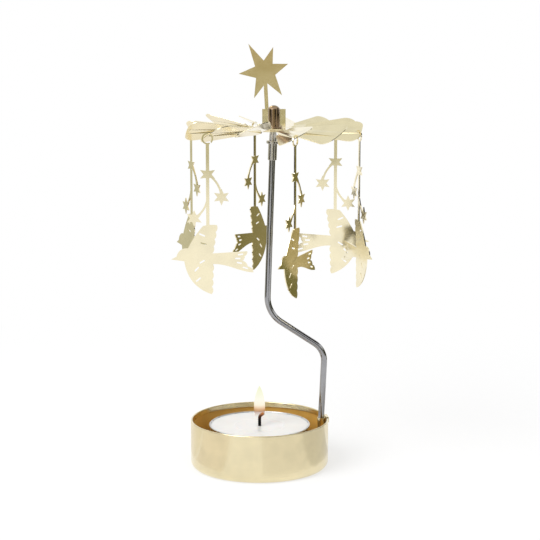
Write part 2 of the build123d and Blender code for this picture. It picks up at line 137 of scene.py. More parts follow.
class CarouselSizes(PropertyGroup):
    round_steps: IntProperty(name="Round steps", description="Sides of a turned piece", default=160, min=16)
    fit_gap: length("Fit gap", "Hairline gap between two pieces that are pressed together", 0.02)
    eased_edge: length("Eased edge", "Rounding of a cut sheet's edges", 0.05)
    turned_edge: length("Turned edge", "Rounding of a turned piece's edges", 0.15)
    cup_sheet: length("Cup sheet", "Thickness of the cup's sheet", 0.35)
    cup_corner: length("Cup corner", "Outer radius of the cup's drawn corner", 2.2)
    hem_height: length("Hem height", "Height of the folded rim", 2.0)
    hem_spring: length("Hem spring", "How far the folded rim's foot springs away from the wall", 0.2)
    rod_diameter: length("Rod diameter", "Diameter of the mast's rod", 2.4)
    rod_reach: length("Rod reach", "Distance of the rod's foot from the cup's middle", 24.05)
    rod_bearing: angle("Rod bearing", "Bearing of the rod's foot in the cup", 7.0)
    leg_spread: length("Leg spread", "How far the rod's leg leans out up to its lower bend", 1.2)
    lower_bend: length("Lower bend", "Height of the rod's lower bend", 44.7)
    upper_bend: length("Upper bend", "Height of the rod's upper bend", 59.7)
    lower_radius: length("Lower radius", "Radius of the rod's lower bend", 8.4)
    upper_radius: length("Upper radius", "Radius of the rod's upper bend", 11.7)
    mast_lean: angle("Mast lean", "Lean of the mast about the needle's tip", 1.9)
    flange_drop: length("Flange drop", "Distance of the ferrule's flange below the fan", 4.2)
    flange_diameter: length("Flange diameter", "Diameter of the ferrule's flange", 4.9)
    flange_height: length("Flange height", "Thickness of the ferrule's flange", 1.0)
    sleeve_diameter: length("Sleeve diameter", "Diameter of the ferrule below its flange", 3.4)
    sleeve_length: length("Sleeve length", "Length of the ferrule below its flange", 6.2)
    needle_diameter: length("Needle diameter", "Diameter of the needle's shank", 2.9)
    needle_taper: length("Needle taper", "Length of the needle's point", 10.5)
    needle_point: length("Needle point", "Radius of the needle's blunt tip", 0.1)
    tail_diameter: length("Tail diameter", "Diameter of the needle's tail in the ferrule", 1.6)
    fan_diameter: length("Fan diameter", "Diameter over the blades' tips", 67.0)
    fan_sheet: length("Fan sheet", "Thickness of the fan's sheet", 0.3)
    fan_bearing: angle("Fan bearing", "Bearing of the first holed blade", -75.2)
    blade_pairs: IntProperty(name="Blade pairs", description="Pairs of one holed and one plain blade", default=6)
    blade_pitch: angle("Blade pitch", "Twist of a blade out of the disc's plane", 27.0)
    plain_bend: angle("Plain blades' bend", "Further twist of each plain blade", (0, 2, 0, 4, 6, -3))
    plain_lift: angle("Plain blades' lift", "Upward bend of each plain blade", (0, 0, 0, 3, 0, 6.7))
    blade_gap: angle("Blade gap", "Angle of the gap between two blades", 3.5)
    blade_corner: length("Blade corner", "Radius of a blade's outer corners", 3.4)
    shoulder_round: length("Shoulder round", "Radius of a blade's corners at its neck", 0.9)
    disc_diameter: length("Disc diameter", "Diameter of the fan's disc", 20.0)
    neck_width: length("Neck width", "Width of a blade's neck", 3.4)
    neck_flat: length("Neck flat", "Flat stretch before and after the neck's twist", 0.6)
    neck_twist: length("Neck twist", "Length of the neck's twist", 1.8)
    hang_hole: length("Hanging hole", "Diameter of the hole that a hanger's eye goes through", 1.6)
    hole_reach: length("Hole reach", "Distance of the hanging hole from the fan's axis", 32.13)
    hole_across: length("Hole across", "Distance of the hanging hole from its blade's middle", -0.12)
    hub_diameter: length("Hub diameter", "Diameter of the thimble's wall", 4.5)
    hub_bore: length("Hub bore", "Diameter of the bore that the needle stands in", 3.5)
    hub_dome: length("Hub dome", "Rise of the thimble's rounded top", 1.3)
    hub_edge: length("Hub edge", "Radius of the thimble's upper edge", 0.4)
    hub_roof: length("Hub roof", "Thickness of the thimble's top over the needle", 1.0)
    drill_angle: angle("Drill angle", "Point angle of the bore's end", 118.0)
    brim_height: length("Brim height", "Thickness of the thimble's brim", 0.5)
    collar_diameter: length("Collar diameter", "Diameter of the thimble's collar in the disc", 4.2)
    crimp_diameter: length("Crimp diameter", "Diameter of the collar's crimped end under the disc", 5.4)
    crimp_height: length("Crimp height", "Thickness of the crimped end", 0.45)
    star_sheet: length("Star sheet", "Thickness of the star's sheet under the brim", 0.4)
    foil: length("Foil", "Thickness of the tealight's foil", 0.25)
    foil_corner: length("Foil corner", "Radius of the tealight's lower corner", 1.6)
    foil_bead: length("Foil bead", "Radius of the tealight's beaded lip", 0.3)
    wax_dish: length("Wax dish", "Depth of the melted dish in the wax", 0.5)
    wick_diameter: length("Wick diameter", "Diameter of the braided wick", 1.3)
    wick_strands: IntProperty(name="Wick strands", description="Strands that show round the wick", default=5)
    wick_groove: amount("Wick groove", "Radius between two strands as a share of the wick's", 0.78)
    wick_lay: amount("Wick lay", "Turn of the strands in radians a millimetre", 1.5)
    wick_curl: angle("Wick curl", "Bend of the burnt end", 50.0)
    flame_rise: length("Flame rise", "Height of the flame's foot over the wax", 0.5)
    flame_height: length("Flame height", "Height of the flame", 14.7)
    flame_width: length("Flame width", "Greatest width of the flame", 4.3)
    flame_belly: amount("Flame belly", "Share of the height at which it is widest", 0.44)
    flame_fullness: amount("Flame fullness", "Below 1 the flame stays wide towards its ends", 0.75)


def fan_plane(sizes):
    """Height of the fan's disc, at the middle of its sheet."""
    return HUB_LOW.z + sizes.crimp_height + sizes.fit_gap + sizes.fan_sheet / 2


def neck_start(sizes):
    """Distance from the fan's axis at which a blade's neck starts to twist."""
    return sizes.disc_diameter / 2 + sizes.neck_flat


class CarouselFinishes(PropertyGroup):
    gold: colour("Plated gold", "Pale gold plating of the cut sheets", "#FAF0D0")
    cup_gold: colour("Lacquered gold", "Gold lacquer of the cup", "#F0E3BC")
    # The cup's inside colour is painted reflection: a deeper gold that stands in for the light its walls mirror to
    # each other.
    cup_inside: colour("Cup's inside", "Deeper gold inside the cup, with painted reflection", "#F0C266")
    browned: colour("Browned brass", "Dark brass of the hub", "#967C5E")
    steel: colour("Steel", "Polished steel of the mast", "#A4A4A6")
    nickel: colour("Nickel", "Nickel plating of the ferrule and the needle", "#C9C6C0")
    foil: colour("Foil", "Aluminium foil of the tealight", "#DCDDDE")
    wax: colour("Wax", "White paraffin", "#F6F4F1")
    char: colour("Char", "Burnt cotton of the wick", "#070504")
    tin: colour("Tin", "Tinned plate of the sustainer", "#B9BABB")


class CarouselStage(PropertyGroup):
    camera_place: length("Camera place", "Where the camera stands", (4.03, -600, 176.95), subtype="TRANSLATION")
    camera_pitch: angle("Camera pitch", "How far the camera looks down", 9.52)
    camera_lens: amount("Lens", "Focal length on a 36 mm sensor", 106.73)
    floor_radius: length("Floor radius", "Radius of the pale floor", 2600)
    floor_drop: length("Floor drop", "Depth of the floor under the cup, so that their faces don't mix", 0.05)
    fade_start: length("Fade start", "Distance at which the floor starts to fade into the background", 60)
    fade_end: length("Fade end", "Distance at which the floor is the background", 300)
    fade_share: amount("Fade share", "Share of the background in the floor before it starts to fade", 0.6)
    room_light: amount("Room light", "Strength of the even light from all round", 0.74)
    key_light: amount("Key light", "Power of the soft lamp, in watts", 3.2)
    lamp_size: length("Lamp size", "Diameter of the soft lamp", 600)
    lamp_place: length("Lamp place", "Where the soft lamp hangs", (-420, -420, 580), subtype="TRANSLATION")
    lamp_aim: length("Lamp aim", "Where the soft lamp points", (0, 0, 60), subtype="TRANSLATION")
    white: colour("White", "Colour of the floor and the background", "#FFFFFF")
    olive_card: colour("Olive card", "Dark warm card to the right, seen in the front bird", "#6E6A3C")
    drab_card: colour("Drab card", "Warm card beside it, seen in the bird at the back", "#8C8560")
    dark_card: colour("Dark card", "Dark grey cards at the sides, seen in the steel", "#2F2D2B")
    mid_card: colour("Mid card", "Warm grey card to the left and behind", "#C6C5B2")
    tan_card: colour("Tan card", "Tan card to the left, seen in the front bird by way of its neighbour", "#AFA685")
    room_low: colour("Room foot", "Lower part of the room's far side, seen in the star's plate", "#B2AF8E")
    room_high: colour("Room head", "Upper part of the room's far side, seen in the star", "#B2A177")
    ceiling: colour("Ceiling", "Pale ceiling behind, seen in the blades", "#E6E5DA")
    front_low: colour("Front foot", "Lower part of the room above the camera, seen in a raised blade", "#DDDDE4")
    front_high: colour("Front head", "Upper part of it, seen in the star's plate by way of a blade", "#B4B7B0")
    # The four mats' greys are painted shadow: the carousel's shadow on the floor, as the cup and the blades mirror
    # it.
    right_mat: colour("Right mat", "Grey on the floor to the right, seen in the cup's side", "#D8D6D2")
    middle_mat: colour("Middle mat", "Paler grey in front of it, seen in the cup's front", "#EEECE9")
    left_mat: colour("Left mat", "Pale warm grey to the left, seen in the cup's other side", "#F3EEE8")
    back_mat: colour("Back mat", "Grey on the floor behind, seen in the blades' undersides", "#F5F1E9")


# Cards and floor mats that only show in what mirrors them. The grey floor mats are painted shadow: they stand in for
# the carousel's shadow on the floor where the cup and the blades mirror it. Each has the reach and height of its
# lower edge and of its upper edge in millimetres, the bearings in degrees that it spans, its colour, and its upper
# colour if that differs.
CARDS = {
    "olive_card": ((250, 0), (250, 120), (14, 30.5), "olive_card"),
    "drab_card": ((250, 0), (250, 120), (30.5, 52), "drab_card"),
    "front_right_card": ((370, 0), (370, 130), (-77, -46), "dark_card"),
    "streak_card": ((370, 20), (370, 130), (-46, -26), "mid_card"),
    "right_card": ((370, 32), (370, 130), (-26, 14), "dark_card"),
    "left_card": ((370, 0), (370, 130), (187, 226), "dark_card"),
    "mid_card": ((360, 0), (360, 120), (136, 171), "mid_card"),
    "tan_card": ((360, 0), (360, 120), (171, 187), "tan_card"),
    "room_card": ((900, 20), (900, 200), (-118, -62), "room_low", "room_high"),
    "upper_card": ((330, 220), (330, 500), (-85, 32), "dark_card"),
    "ceiling_card": ((900, 500), (20, 950), (15, 165), "ceiling"),
    "front_card": ((1100, 270), (1100, 750), (-135, -75), "front_low", "front_high"),
    "right_mat": ((35, 0.5), (130, 0.6), (-25, 30), "right_mat"),
    "middle_mat": ((35, 0.5), (130, 0.6), (-86, -25), "middle_mat"),
    "left_mat": ((35, 0.5), (130, 0.6), (178, 228), "left_mat"),
    "back_mat": ((35, 0.5), (350, 0.6), (35, 175), "back_mat"),
}

# Shares of a card's height at which its lower colour ends and its upper one starts.
CARD_SHADES = (0.3, 0.6)


def rgba(value):
    """Colour with full alpha, for a shader's socket."""
    return (*value, 1.0)


def node(tree, kind, links=None, stops=(), **settings):
    """Adds a node, sets its properties, fills or links its inputs by name or number, sets a ramp's colours, and
    returns its outputs. A list is linked one by one to an input that takes many."""
    made = tree.nodes.new(kind)
    for name, value in settings.items():
        setattr(made, name, value)
    for name, value in (links or {}).items():
        for each in value if isinstance(value, list) else [value]:
            if isinstance(each, bpy.types.NodeSocket):
                tree.links.new(each, made.inputs[name])
            else:
                made.inputs[name].default_value = each
    for number, (place, value) in enumerate(stops):
        elements = made.color_ramp.elements
        element = elements[number] if number < 2 else elements.new(place)
        element.position = place
        element.color = rgba(value)
    return made.outputs


def empty_material(name):
    """New material without nodes, and the function that adds them to it."""
    material = bpy.data.materials.new(name)
    material.use_nodes = True
    material.node_tree.nodes.clear()
    return material, partial(node, material.node_tree)


def height_share(add, low, high):
    """Share of the way from one height to another, held between 0 and 1."""
    place = add("ShaderNodeTexCoord")["Object"]
    height = add("ShaderNodeSeparateXYZ", {"Vector": place})["Z"]
    return add("ShaderNodeMapRange", {"Value": height, "From Min": low, "From Max": high})["Result"]


def mottled(add, place, spacing, detail, stops):
    """Soft patches at a spacing in millimetres, and the colours that they mix."""
    patches = add("ShaderNodeTexNoise", {"Vector": place, "Scale": 1 / (spacing * MM), "Detail": detail})["Fac"]
    return patches, add("ShaderNodeValToRGB", {"Fac": patches}, stops=stops)["Color"]


class Metal(NamedTuple):
    """Look of a metal: its mottle, grain and slow wave have a spacing, and grain and wave a depth, in millimetres."""
    finish: str
    roughness: float
    mottle: float
    grain: float
    grain_depth: float
    wave: float
    wave_depth: float
    stretch: tuple = (1, 1, 1)
    lacquer: float = 0.0
    metallic: float = 1.0


# The real grain of these metals is too fine to show, so it is drawn as coarse as it needs to be.
METALS = {
    # Brass-plated steel sheet, etched through and polished: a pale mirror with a slow wave from the rolling.
    "plated_gold_sheet": Metal(
        "gold", roughness=0.13, mottle=7, grain=0.5, grain_depth=0.0015, wave=16, wave_depth=0.02),
    # Tinplate drawn into a cup under gold lacquer: upright draw lines, and a clear gloss over a softer metal.
    "lacquered_gold_cup": Metal(
        "cup_gold", roughness=0.2, mottle=9, grain=0.9, grain_depth=0.003, wave=22, wave_depth=0.03,
        stretch=(1, 1, 0.06), lacquer=0.35),
    # The cup's inside: a deeper gold that is painted reflection, standing in for the light that the gold walls mirror
    # to each other, with a satin face that scatters the light that falls in.
    "dull_gold_inside": Metal(
        "cup_inside", roughness=0.38, mottle=6, grain=0.9, grain_depth=0.003, wave=22, wave_depth=0.03,
        stretch=(1, 1, 0.06), metallic=0.3),
    # Brass turned on a lathe, browned and lacquered: a dark mirror with faint rings and a clear gloss over it.
    "browned_brass": Metal(
        "browned", roughness=0.1, mottle=4, grain=0.25, grain_depth=0.0008, wave=5, wave_depth=0.004,
        stretch=(0.05, 0.05, 1), lacquer=1.0),
    # Bright steel wire pulled through a die: long streaks, cool grey reflections.
    "drawn_steel_rod": Metal(
        "steel", roughness=0.12, mottle=3, grain=0.3, grain_depth=0.002, wave=12, wave_depth=0.01,
        stretch=(1, 1, 0.04)),
    # Turned steel, nickel plated: paler than the rod, with fine turning rings round it.
    "nickel_plated_pivot": Metal(
        "nickel", roughness=0.18, mottle=3, grain=0.3, grain_depth=0.0015, wave=6, wave_depth=0.005,
        stretch=(0.05, 0.05, 1)),
    # Soft aluminium foil pressed to a cup: a bright sheen broken by small creases.
    "pressed_aluminium_foil": Metal(
        "foil", roughness=0.28, mottle=3, grain=0.6, grain_depth=0.006, wave=4, wave_depth=0.05),
    # Tinned steel punching: a dull grey sheen.
    "tinned_plate": Metal(
        "tin", roughness=0.35, mottle=2, grain=0.3, grain_depth=0.002, wave=6, wave_depth=0.01),
}

# How a metal's patches vary it: the least and most of its roughness, and the depth of the darker colour.
SMOOTH_PATCH, ROUGH_PATCH = 0.8, 1.25
DARK_PATCH = 0.9


def metal(name):
    """Material of a metal in the table: a mottled polish, fine surface grain and the slow waviness of thin sheet."""
    look = METALS[name]
    base = tuple(getattr(bpy.context.scene.carousel_finishes, look.finish))
    deep = tuple(c * DARK_PATCH for c in base)
    material, add = empty_material(name)
    place = add("ShaderNodeTexCoord")["Object"]
    patches, tint = mottled(add, place, look.mottle, 3.0, [(0.3, deep), (0.6, base)])
    polish = add("ShaderNodeMapRange", {
        "Value": patches, "From Min": 0.3, "From Max": 0.7,
        "To Min": look.roughness * SMOOTH_PATCH, "To Max": look.roughness * ROUGH_PATCH,
    })["Result"]
    drawn = add("ShaderNodeMapping", {"Vector": place, "Scale": look.stretch})["Vector"]
    lines = add("ShaderNodeTexNoise", {"Vector": drawn, "Scale": 1 / (look.grain * MM), "Detail": 2.0})["Fac"]
    fine = add("ShaderNodeBump", {"Height": lines, "Distance": look.grain_depth * MM})["Normal"]
    slow = add("ShaderNodeTexNoise", {"Vector": place, "Scale": 1 / (look.wave * MM), "Detail": 1.0})["Fac"]
    bent = add("ShaderNodeBump", {"Height": slow, "Distance": look.wave_depth * MM, "Normal": fine})["Normal"]
    shader = add("ShaderNodeBsdfPrincipled", {
        "Base Color": tint, "Metallic": look.metallic, "Roughness": polish, "Normal": bent,
        "Coat Weight": look.lacquer, "Coat Roughness": 0.08,
    })["BSDF"]
    add("ShaderNodeOutputMaterial", {"Surface": shader})
    return material


def cast_paraffin():
    # Paraffin cast into its cup: light enters and comes out softened, and the melted middle is wet and smooth.
    material, add = empty_material("cast_paraffin")
    place = add("ShaderNodeTexCoord")["Object"]
    flat = add("ShaderNodeMapping", {"Vector": place, "Scale": (1, 1, 0)})["Vector"]
    reach = add("ShaderNodeVectorMath", {0: flat}, operation="LENGTH")["Value"]
    melt = add("ShaderNodeMapRange", {
        "Value": reach, "From Min": 7 * MM, "From Max": 12 * MM, "To Min": 0.12, "To Max": 0.42,
    }, interpolation_type="SMOOTHSTEP")["Result"]
    white = tuple(bpy.context.scene.carousel_finishes.wax)
    cloud, tint = mottled(add, place, 6, 3.0, [(0.35, tuple(c * 0.96 for c in white)), (0.65, white)])
    skin = add("ShaderNodeBump", {"Height": cloud, "Distance": 0.05 * MM})["Normal"]
    shader = add("ShaderNodeBsdfPrincipled", {
        "Base Color": tint, "Roughness": melt, "IOR": 1.44, "Normal": skin,
        "Subsurface Weight": 0.4, "Subsurface Radius": (3.0, 2.4, 2.0), "Subsurface Scale": MM,
    })["BSDF"]
    add("ShaderNodeOutputMaterial", {"Surface": shader})
    return material


def charred_cotton():
    # Braided cotton burnt black, with an ember at its tip that fades down the curl.
    material, add = empty_material("charred_cotton")
    place = add("ShaderNodeTexCoord")["Object"]
    ember = 2.6 * MM
    burn = height_share(add, WICK_HIGH.z - ember, WICK_HIGH.z)
    black = tuple(bpy.context.scene.carousel_finishes.char)
    ash, tint = mottled(add, place, 0.4, 4.0, [(0.35, black), (0.75, tuple(c * 2.2 for c in black))])
    glow = add("ShaderNodeValToRGB", {"Fac": burn}, stops=[
        (0.0, linear("#000000")), (0.45, linear("#4A2210")), (1.0, linear("#E08A3C")),
    ])["Color"]
    frayed = add("ShaderNodeBump", {"Height": ash, "Distance": 0.12 * MM})["Normal"]
    shader = add("ShaderNodeBsdfPrincipled", {
        "Base Color": tint, "Roughness": 0.9, "Specular IOR Level": 0.1, "Normal": frayed,
        "Emission Color": glow, "Emission Strength": 1.0,
    })["BSDF"]
    add("ShaderNodeOutputMaterial", {"Surface": shader})
    return material


def candle_flame(low, high):
    # Burning wax vapour: clear at the foot, amber where it starts to glow, white in the body, pale at the tip.
    material, add = empty_material("candle_flame")
    share = height_share(add, low, high)
    tint = add("ShaderNodeValToRGB", {"Fac": share}, stops=[
        (0.0, linear("#9A9490")), (0.24, linear("#B08A74")), (0.33, linear("#C08A62")), (0.42, linear("#EFC9A2")),
        (0.52, linear("#FFF8E2")), (0.66, linear("#FFFDEE")), (1.0, linear("#F3F7CF")),
    ])["Color"]
    body = add("ShaderNodeMapRange", {
        "Value": share, "From Min": 0.16, "From Max": 0.5, "To Min": 0.01, "To Max": 0.95,
    }, interpolation_type="SMOOTHSTEP")["Result"]
    light = add("ShaderNodeEmission", {"Color": tint})["Emission"]
    clear = add("ShaderNodeBsdfTransparent")["BSDF"]
    mixed = add("ShaderNodeMixShader", {0: body, 1: clear, 2: light})["Shader"]
    add("ShaderNodeOutputMaterial", {"Surface": mixed})
    return material


def arc(centre, radius, start, end, steps=CORNER_STEPS):
    """Points of an arc in a section or an outline, from one bearing in degrees to another."""
    turns = [math.radians(start + (end - start) * n / steps) for n in range(steps + 1)]
    return [(centre[0] + radius * math.cos(t), centre[1] + radius * math.sin(t)) for t in turns]


def circle(centre, radius):
    """Points of a round hole in an outline."""
    return arc(centre, radius, 0, 360, HOLE_STEPS)[:-1]


def placed(name, mesh):
    """New object at the origin that shows a mesh."""
    made = bpy.data.objects.new(name, mesh)
    bpy.context.scene.collection.objects.link(made)
    return made


def shaded(piece, crease=CREASE):
    """Shades a piece smooth but for its creases. A large face outweighs a small one, so that flat faces stay flat."""
    mesh = piece.data
    limit = math.cos(math.radians(crease))
    facing = [face.normal.copy() for face in mesh.polygons]
    pull = [face.normal * (face.area / MM ** 2) ** 2 for face in mesh.polygons]
    around = [[] for _ in mesh.vertices]
    for face in mesh.polygons:
        for corner in face.vertices:
            around[corner].append(face.index)
    normals = []
    for face in mesh.polygons:
        for corner in face.vertices:
            near = [pull[other] for other in around[corner] if facing[other].dot(facing[face.index]) >= limit]
            normals.append(sum(near, Vector((0, 0, 0))).normalized())
    mesh.shade_smooth()
    mesh.normals_split_custom_set(normals)
    return piece


def mesh_of(name, work):
    """Mesh of a bmesh, which is freed."""
    mesh = bpy.data.meshes.new(name)
    work.to_mesh(mesh)
    work.free()
    return mesh


def closed_mesh(name, work):
    """Mesh of a closed bmesh, its faces pointing outwards."""
    bmesh.ops.remove_doubles(work, verts=work.verts, dist=MERGE)
    bmesh.ops.recalc_face_normals(work, faces=work.faces)
    return mesh_of(name, work)


def lathe(name, section, steps, place=Matrix.Identity(4), crease=CREASE):
    """Piece turned about Z from a closed half section of (reach, height) points, then moved to its place."""
    work = bmesh.new()
    rings = []
    for reach, height in section:
        turns = [2 * math.pi * n / steps for n in range(steps)] if reach > ON_AXIS else [0.0]
        rings.append([work.verts.new((reach * math.cos(t), reach * math.sin(t), height)) for t in turns])
    for ring, following in zip(rings, rings[1:] + rings[:1]):
        for n in range(steps):
            corners = [ring[n % len(ring)], ring[(n + 1) % len(ring)],
                       following[(n + 1) % len(following)], following[n % len(following)]]
            face = list(dict.fromkeys(corners))
            if len(face) > 2:
                work.faces.new(face)
    work.transform(place)
    return shaded(placed(name, closed_mesh(name, work)), crease)


def cut_sheet(name, outlines, thickness, edge):
    """Flat plate cut to closed outlines, the first filled and the rest left open, with its edges eased."""
    curve = bpy.data.curves.new(name, "CURVE")
    curve.dimensions = "2D"
    curve.fill_mode = "BOTH"
    curve.extrude = thickness / 2 - edge
    curve.bevel_depth = edge
    curve.bevel_resolution = 1
    curve.offset = -edge
    for outline in outlines:
        spline = curve.splines.new("POLY")
        spline.points.add(len(outline) - 1)
        spline.use_cyclic_u = True
        for point, (x, y) in zip(spline.points, outline):
            point.co = (x, y, 0, 1)
    holder = bpy.data.objects.new(name, curve)
    work = bmesh.new()
    work.from_mesh(bpy.data.meshes.new_from_object(holder))
    bpy.data.objects.remove(holder)
    bpy.data.curves.remove(curve)
    return placed(name, closed_mesh(name, work))


def smooth_copy(node_name):
    """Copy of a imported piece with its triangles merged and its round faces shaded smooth."""
    name = node_name + "_smooth"
    work = bmesh.new()
    work.from_mesh(frame["nodes"][node_name].data)
    bmesh.ops.remove_doubles(work, verts=work.verts, dist=PACKED_MERGE)
    return shaded(placed(name, mesh_of(name, work)))


def marked_points(name, points, edges, marks):
    """Object whose mesh is bare points and edges, with the named numbers of each mark stored on the points."""
    mesh = bpy.data.meshes.new(name)
    mesh.from_pydata(points, edges, [])
    for mark, values in marks.items():
        mesh.attributes.new(mark, "FLOAT", "POINT").data.foreach_set("value", values)
    return placed(name, mesh)


def path_object(name, corners):
    """Object whose mesh is one open line through corners, each given as a point and its bend radius."""
    points = [point for point, bend in corners]
    edges = [(n, n + 1) for n in range(len(points) - 1)]
    return marked_points(name, points, edges, {"bend": [bend for point, bend in corners]})


def seat(piece, material, slot, body, *nodes):
    """Gives a finished piece its material, the body it rides on and the nodes that it stands for."""
    piece.data.materials.clear()
    piece.data.materials.append(material)
    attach(piece, body)
    if nodes:
        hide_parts(*nodes)


def start_tree(name, sockets):
    """New geometry tree with its named inputs, the function that adds its nodes, and the inputs to link from."""
    tree = bpy.data.node_groups.new(name, "GeometryNodeTree")
    tree.interface.new_socket("Geometry", in_out="INPUT", socket_type="NodeSocketGeometry")
    for socket, kind in sockets.items():
        tree.interface.new_socket(socket, in_out="INPUT", socket_type=kind)
    tree.interface.new_socket("Geometry", in_out="OUTPUT", socket_type="NodeSocketGeometry")
    add = partial(node, tree)
    return tree, add, add("NodeGroupInput")


def end_tree(add, shape, material):
    """Ends a tree in plain geometry with its material."""
    solid = add("GeometryNodeRealizeInstances", {"Geometry": shape})["Geometry"]
    dressed = add("GeometryNodeSetMaterial", {"Geometry": solid, "Material": material})["Geometry"]
    add("NodeGroupOutput", {"Geometry": dressed})


def run_tree(piece, tree, values):
    """Puts a tree on a piece with its inputs set, and turns what it makes into the piece's plain mesh."""
    modifier = piece.modifiers.new(tree.name, "NODES")
    modifier.node_group = tree
    for item in tree.interface.items_tree:
        if item.in_out == "INPUT" and item.name in values:
            modifier[item.identifier] = values[item.name]
    depsgraph = bpy.context.evaluated_depsgraph_get()
    mesh = bpy.data.meshes.new_from_object(piece.evaluated_get(depsgraph), depsgraph=depsgraph)
    piece.modifiers.clear()
    piece.data = mesh


def tube_tree():
    """Nodes that sweep a lobed section along a path, whose corners are rounded by the path's own bend radii."""
    tree, add, given = start_tree("bent_tube", {
        "Bend Steps": "NodeSocketInt", "Lobes": "NodeSocketInt", "Outer Radius": "NodeSocketFloat",
        "Inner Radius": "NodeSocketFloat", "Twist Rate": "NodeSocketFloat", "Step": "NodeSocketFloat",
        "Material": "NodeSocketMaterial",
    })
    path = add("GeometryNodeMeshToCurve", {"Mesh": given["Geometry"]})["Curve"]
    bend = add("GeometryNodeInputNamedAttribute", {"Name": "bend"}, data_type="FLOAT")["Attribute"]
    bent = add("GeometryNodeFilletCurve", {
        "Curve": path, "Count": given["Bend Steps"], "Radius": bend,
    }, mode="POLY")["Curve"]
    even = add("GeometryNodeResampleCurve", {"Curve": bent, "Length": given["Step"]}, mode="LENGTH")["Curve"]
    along = add("GeometryNodeSplineParameter")["Length"]
    turn = add("ShaderNodeMath", {0: along, 1: given["Twist Rate"]}, operation="MULTIPLY")["Value"]
    twisted = add("GeometryNodeSetCurveTilt", {"Curve": even, "Tilt": turn})["Curve"]
    section = add("GeometryNodeCurveStar", {
        "Points": given["Lobes"], "Inner Radius": given["Inner Radius"], "Outer Radius": given["Outer Radius"],
    })["Curve"]
    tube = add("GeometryNodeCurveToMesh", {"Curve": twisted, "Profile Curve": section, "Fill Caps": True})["Mesh"]
    end_tree(add, tube, given["Material"])
    return tree


def fan_tree():
    """Nodes that set flat blades round a disc, bend each at its neck by its own angles and put the fan in place."""
    tree, add, given = start_tree("twisted_blade_ring", {
        "Holed Blade": "NodeSocketObject", "Plain Blade": "NodeSocketObject", "Disc": "NodeSocketObject",
        "Blades": "NodeSocketInt", "Neck Start": "NodeSocketFloat", "Neck End": "NodeSocketFloat",
        "Place": "NodeSocketVector", "Bearing": "NodeSocketFloat", "Material": "NodeSocketMaterial",
    })

    # Every station keeps its turn about the fan's axis; the even ones take a holed blade, the odd ones a plain one.
    number = add("GeometryNodeInputIndex")["Index"]
    part = add("ShaderNodeMath", {0: number, 1: given["Blades"]}, operation="DIVIDE")["Value"]
    round_turn = add("ShaderNodeMath", {0: part, 1: 2 * math.pi}, operation="MULTIPLY")["Value"]
    stations = add("GeometryNodeStoreNamedAttribute", {
        "Geometry": given["Geometry"], "Name": "turn", "Value": round_turn,
    }, data_type="FLOAT", domain="POINT")["Geometry"]
    odd = add("ShaderNodeMath", {0: number, 1: 2.0}, operation="MODULO")["Value"]
    even = add("ShaderNodeMath", {0: 1.0, 1: odd}, operation="SUBTRACT")["Value"]
    flat = []
    for blade, chosen in (("Holed Blade", even), ("Plain Blade", odd)):
        cut = add("GeometryNodeObjectInfo", {"Object": given[blade]})["Geometry"]
        flat.append(add("GeometryNodeInstanceOnPoints", {
            "Points": stations, "Selection": chosen, "Instance": cut,
        })["Instances"])
    flat.append(add("GeometryNodeObjectInfo", {"Object": given["Disc"]})["Geometry"])
    joined = add("GeometryNodeJoinGeometry", {"Geometry": flat})["Geometry"]
    sheet = add("GeometryNodeRealizeInstances", {"Geometry": joined})["Geometry"]

    # Over the neck a blade turns about X from the disc's plane to its pitch and rises about Y by its lift; then it
    # turns to its station.
    place = add("GeometryNodeInputPosition")["Position"]
    along = add("ShaderNodeSeparateXYZ", {"Vector": place})["X"]
    share = add("ShaderNodeMapRange", {
        "Value": along, "From Min": given["Neck Start"], "From Max": given["Neck End"],
    }, interpolation_type="SMOOTHSTEP")["Result"]
    pitch, lift, turn = (
        add("GeometryNodeInputNamedAttribute", {"Name": mark}, data_type="FLOAT")["Attribute"]
        for mark in ("pitch", "lift", "turn")
    )
    twist = add("ShaderNodeMath", {0: share, 1: pitch}, operation="MULTIPLY")["Value"]
    pitched = add("ShaderNodeVectorRotate", {"Vector": place, "Angle": twist}, rotation_type="X_AXIS")["Vector"]
    rise = add("ShaderNodeMath", {0: share, 1: lift}, operation="MULTIPLY")["Value"]
    neck = add("ShaderNodeCombineXYZ", {"X": given["Neck Start"]})["Vector"]
    raised = add("ShaderNodeVectorRotate", {
        "Vector": pitched, "Center": neck, "Angle": rise,
    }, rotation_type="Y_AXIS", invert=True)["Vector"]
    bearing = add("ShaderNodeMath", {0: turn, 1: given["Bearing"]}, operation="ADD")["Value"]
    turned = add("ShaderNodeVectorRotate", {"Vector": raised, "Angle": bearing}, rotation_type="Z_AXIS")["Vector"]
    moved = add("ShaderNodeVectorMath", {0: turned, 1: given["Place"]}, operation="ADD")["Vector"]
    formed = add("GeometryNodeSetPosition", {"Geometry": sheet, "Position": moved})["Geometry"]
    end_tree(add, formed, given["Material"])
    return tree


